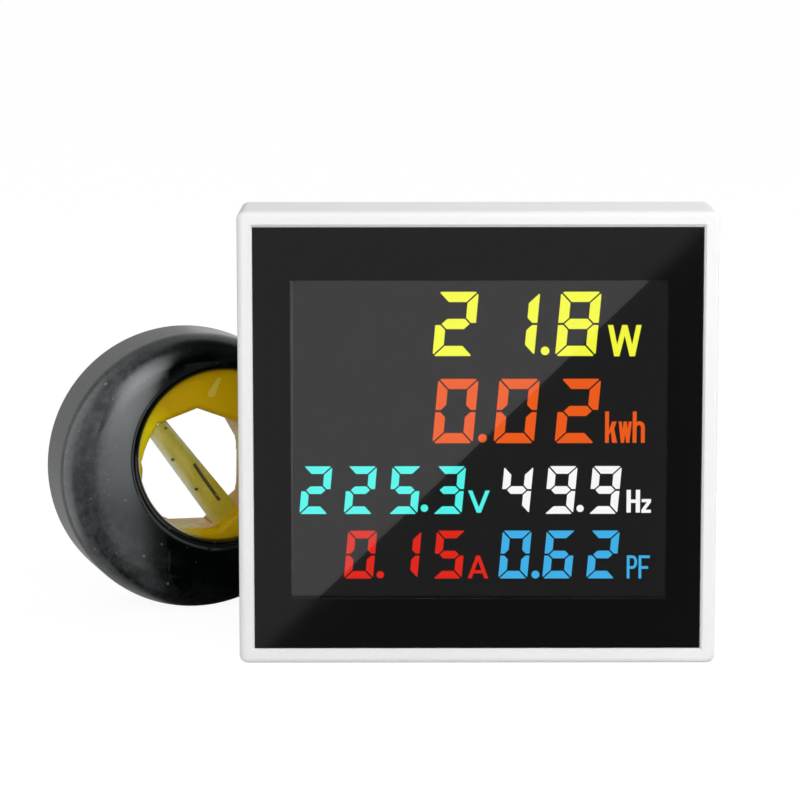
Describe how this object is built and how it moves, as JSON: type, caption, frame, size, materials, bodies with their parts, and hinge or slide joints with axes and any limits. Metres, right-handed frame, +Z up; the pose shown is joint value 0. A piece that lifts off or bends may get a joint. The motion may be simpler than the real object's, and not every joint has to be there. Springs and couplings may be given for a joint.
{
  "type": "panel power meter",
  "caption": "Square panel meter for mains power with a colour segment display, a stepped rear case with screw terminals, and a separate current ring.",
  "frame": {"origin": "middle of the face that the front housing stands on", "axes": "X to the right seen from the front, +Y away from the viewer, +Z up"},
  "size_m": [0.1113, 0.0642, 0.0725],
  "materials": {
    "white_abs": "satin white moulding",
    "case_white": "fine-textured white moulding",
    "overlay_black": "gloss black print",
    "clear_window": "clear polished sheet",
    "lcd_black": "polished black display glass",
    "colour_film": "printed colour film",
    "light_guide": "clear moulded light guide",
    "tray_white": "white reflector",
    "led_yellow": "diode board",
    "frame_black": "black moulding",
    "contact_rubber": "layered contact rubber",
    "board_green": "solder mask",
    "chip_black": "moulded epoxy",
    "film_yellow": "boxed capacitor",
    "can_black": "sleeved can",
    "varistor_blue": "dipped epoxy",
    "resistor_grey": "cement coat",
    "steel": "zinc-plated steel",
    "nickel": "nickel-plated brass",
    "terminal_green": "moulded terminal block",
    "button_black": "moulded button",
    "switch_steel": "switch cover",
    "clip_grey": "moulded clip",
    "ring_black": "satin black moulding",
    "core_steel": "wound strip core",
    "copper": "enamelled copper wire",
    "tape_yellow": "polyester tape",
    "bush_black": "rubber bush"
  },
  "bodies": {
    "meter": {"front_bezel": "white_abs", "front_overlay": "overlay_black", "front_window": "clear_window", "lcd_cell": "lcd_black", "colour_film": "colour_film", "light_guide": "light_guide", "reflector_tray": "tray_white", "led_strip": "led_yellow", "display_frame": "frame_black", "contact_strips": "contact_rubber", "main_board": "board_green", "power_board": "board_green", "controller_chip": "chip_black", "display_driver": "chip_black", "metering_chip": "chip_black", "bridge_rectifier": "chip_black", "board_header": "frame_black", "film_capacitor": "film_yellow", "bulk_capacitor": "can_black", "varistor": "varistor_blue", "fuse_resistor": "resistor_grey", "board_screws": "steel", "rear_case": "case_white", "terminal_block_mains": "terminal_green", "terminal_block_ring": "terminal_green", "terminal_pins": "nickel", "switch_body": "switch_steel"},
    "current_ring": {"ring_shell": "ring_black", "ring_cover": "ring_black", "ring_core": "core_steel", "ring_winding": "copper", "ring_tape": "tape_yellow", "ring_strap": "tape_yellow", "lead_bush": "bush_black"},
    "reset_button": {"reset_button": "button_black", "switch_stem": "button_black"},
    "left_clip": {"left_clip": "clip_grey"},
    "right_clip": {"right_clip": "clip_grey"},
    "terminal_screw_1": {"terminal_screw_1": "steel"},
    "clamp_cage_1": {"clamp_cage_1": "nickel"},
    "terminal_screw_2": {"terminal_screw_2": "steel"},
    "clamp_cage_2": {"clamp_cage_2": "nickel"},
    "terminal_screw_3": {"terminal_screw_3": "steel"},
    "clamp_cage_3": {"clamp_cage_3": "nickel"},
    "terminal_screw_4": {"terminal_screw_4": "steel"},
    "clamp_cage_4": {"clamp_cage_4": "nickel"}
  },
  "joints": [
    {"name": "ring_slide", "type": "slide", "parent": "meter", "child": "current_ring", "axis": [-1, 0, 0], "range_m": [0, 0.06]},
    {"name": "button_press", "type": "slide", "parent": "meter", "child": "reset_button", "axis": [0, -1, 0], "range_m": [0, 0.0006], "stiffness_N_per_m": 500, "springref_m": -0.001},
    {"name": "left_clip_slide", "type": "slide", "parent": "meter", "child": "left_clip", "axis": [0, 1, 0], "range_m": [-0.0014, 0.006]},
    {"name": "right_clip_slide", "type": "slide", "parent": "meter", "child": "right_clip", "axis": [0, 1, 0], "range_m": [-0.0014, 0.006]},
    {"name": "screw_turn_1", "type": "hinge", "parent": "meter", "child": "terminal_screw_1", "pos_m": [-0.01781, 0.02695, 0.01025], "axis": [0, -1, 0], "range_deg": [0, 1920]},
    {"name": "cage_rise_1", "type": "slide", "parent": "meter", "child": "clamp_cage_1", "axis": [0, 1, 0], "range_m": [0, 0.0026]},
    {"name": "screw_turn_2", "type": "hinge", "parent": "meter", "child": "terminal_screw_2", "pos_m": [-0.01019, 0.02695, 0.01025], "axis": [0, -1, 0], "range_deg": [0, 1920]},
    {"name": "cage_rise_2", "type": "slide", "parent": "meter", "child": "clamp_cage_2", "axis": [0, 1, 0], "range_m": [0, 0.0026]},
    {"name": "screw_turn_3", "type": "hinge", "parent": "meter", "child": "terminal_screw_3", "pos_m": [0.01019, 0.02695, 0.01025], "axis": [0, -1, 0], "range_deg": [0, 1920]},
    {"name": "cage_rise_3", "type": "slide", "parent": "meter", "child": "clamp_cage_3", "axis": [0, 1, 0], "range_m": [0, 0.0026]},
    {"name": "screw_turn_4", "type": "hinge", "parent": "meter", "child": "terminal_screw_4", "pos_m": [0.01781, 0.02695, 0.01025], "axis": [0, -1, 0], "range_deg": [0, 1920]},
    {"name": "cage_rise_4", "type": "slide", "parent": "meter", "child": "clamp_cage_4", "axis": [0, 1, 0], "range_m": [0, 0.0026]}
  ],
  "couplings": [
    {"joint": "screw_turn_1", "follows": "cage_rise_1", "rad_per_m": 12566},
    {"joint": "screw_turn_2", "follows": "cage_rise_2", "rad_per_m": 12566},
    {"joint": "screw_turn_3", "follows": "cage_rise_3", "rad_per_m": 12566},
    {"joint": "screw_turn_4", "follows": "cage_rise_4", "rad_per_m": 12566}
  ]
}
